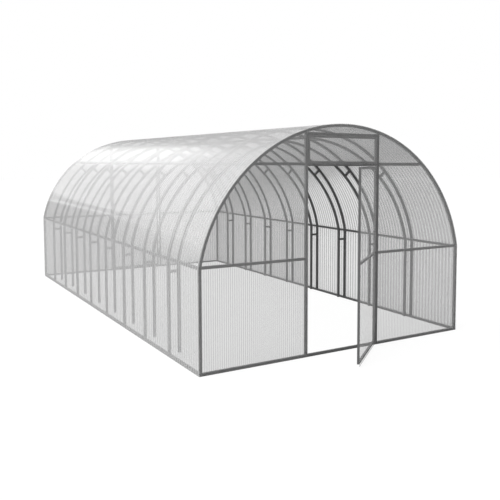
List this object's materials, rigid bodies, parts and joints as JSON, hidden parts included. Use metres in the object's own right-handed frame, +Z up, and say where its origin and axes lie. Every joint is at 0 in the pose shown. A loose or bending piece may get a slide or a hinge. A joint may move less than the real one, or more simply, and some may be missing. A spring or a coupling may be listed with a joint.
{
  "type": "polycarbonate tunnel greenhouse",
  "caption": "Tunnel greenhouse of square steel tube with upright walls and an arched roof in clear twin-wall sheet, a hinged door and a fixed vent in each gable.",
  "frame": {"origin": "on the ground under the middle of the front sill", "axes": "+Y runs from the front gable to the rear gable, +X to the right as seen from the front, +Z up"},
  "size_m": [3, 6.5335, 2.1698],
  "materials": {
    "frame_steel": "satin grey paint on square steel tube",
    "clear_sheet": "clear twin-wall sheet with fine flutes",
    "hinge_steel": "plain zinc-plated steel"
  },
  "bodies": {
    "house": {"left_base_rail": "frame_steel", "left_eave_rail": "frame_steel", "left_purlin": "frame_steel", "right_base_rail": "frame_steel", "right_eave_rail": "frame_steel", "right_purlin": "frame_steel", "front_arch": "frame_steel", "rear_arch": "frame_steel", "double_arch_1": "frame_steel", "double_arch_2": "frame_steel", "double_arch_3": "frame_steel", "double_arch_4": "frame_steel", "double_arch_5": "frame_steel", "double_arch_6": "frame_steel", "double_arch_7": "frame_steel", "double_arch_8": "frame_steel", "front_base_rail": "frame_steel", "front_door_posts": "frame_steel", "front_gable_rails": "frame_steel", "front_vent_frame": "frame_steel", "rear_base_rail": "frame_steel", "rear_door_posts": "frame_steel", "rear_gable_rails": "frame_steel", "rear_vent_frame": "frame_steel", "front_left_gable_sheet": "clear_sheet", "front_right_gable_sheet": "clear_sheet", "front_crown_sheet": "clear_sheet", "front_vent_sheet": "clear_sheet", "rear_left_gable_sheet": "clear_sheet", "rear_right_gable_sheet": "clear_sheet", "rear_crown_sheet": "clear_sheet", "rear_vent_sheet": "clear_sheet", "front_cover_sheet": "clear_sheet", "middle_cover_sheet": "clear_sheet", "rear_cover_sheet": "clear_sheet", "front_post_hinges": "hinge_steel", "rear_post_hinges": "hinge_steel"},
    "front_door": {"front_door_frame": "frame_steel", "front_door_sheet": "clear_sheet", "front_door_hinges": "hinge_steel"},
    "rear_door": {"rear_door_frame": "frame_steel", "rear_door_sheet": "clear_sheet", "rear_door_hinges": "hinge_steel"}
  },
  "joints": [
    {"name": "front_door_hinge", "type": "hinge", "parent": "house", "child": "front_door", "pos_m": [0.377, -0.0175, 0.9], "axis": [0, 0, 1], "range_deg": [-41.5, 78.5]},
    {"name": "rear_door_hinge", "type": "hinge", "parent": "house", "child": "rear_door", "pos_m": [0.377, 5.9845, 0.9], "axis": [0, 0, -1], "range_deg": [0, 120]}
  ]
}
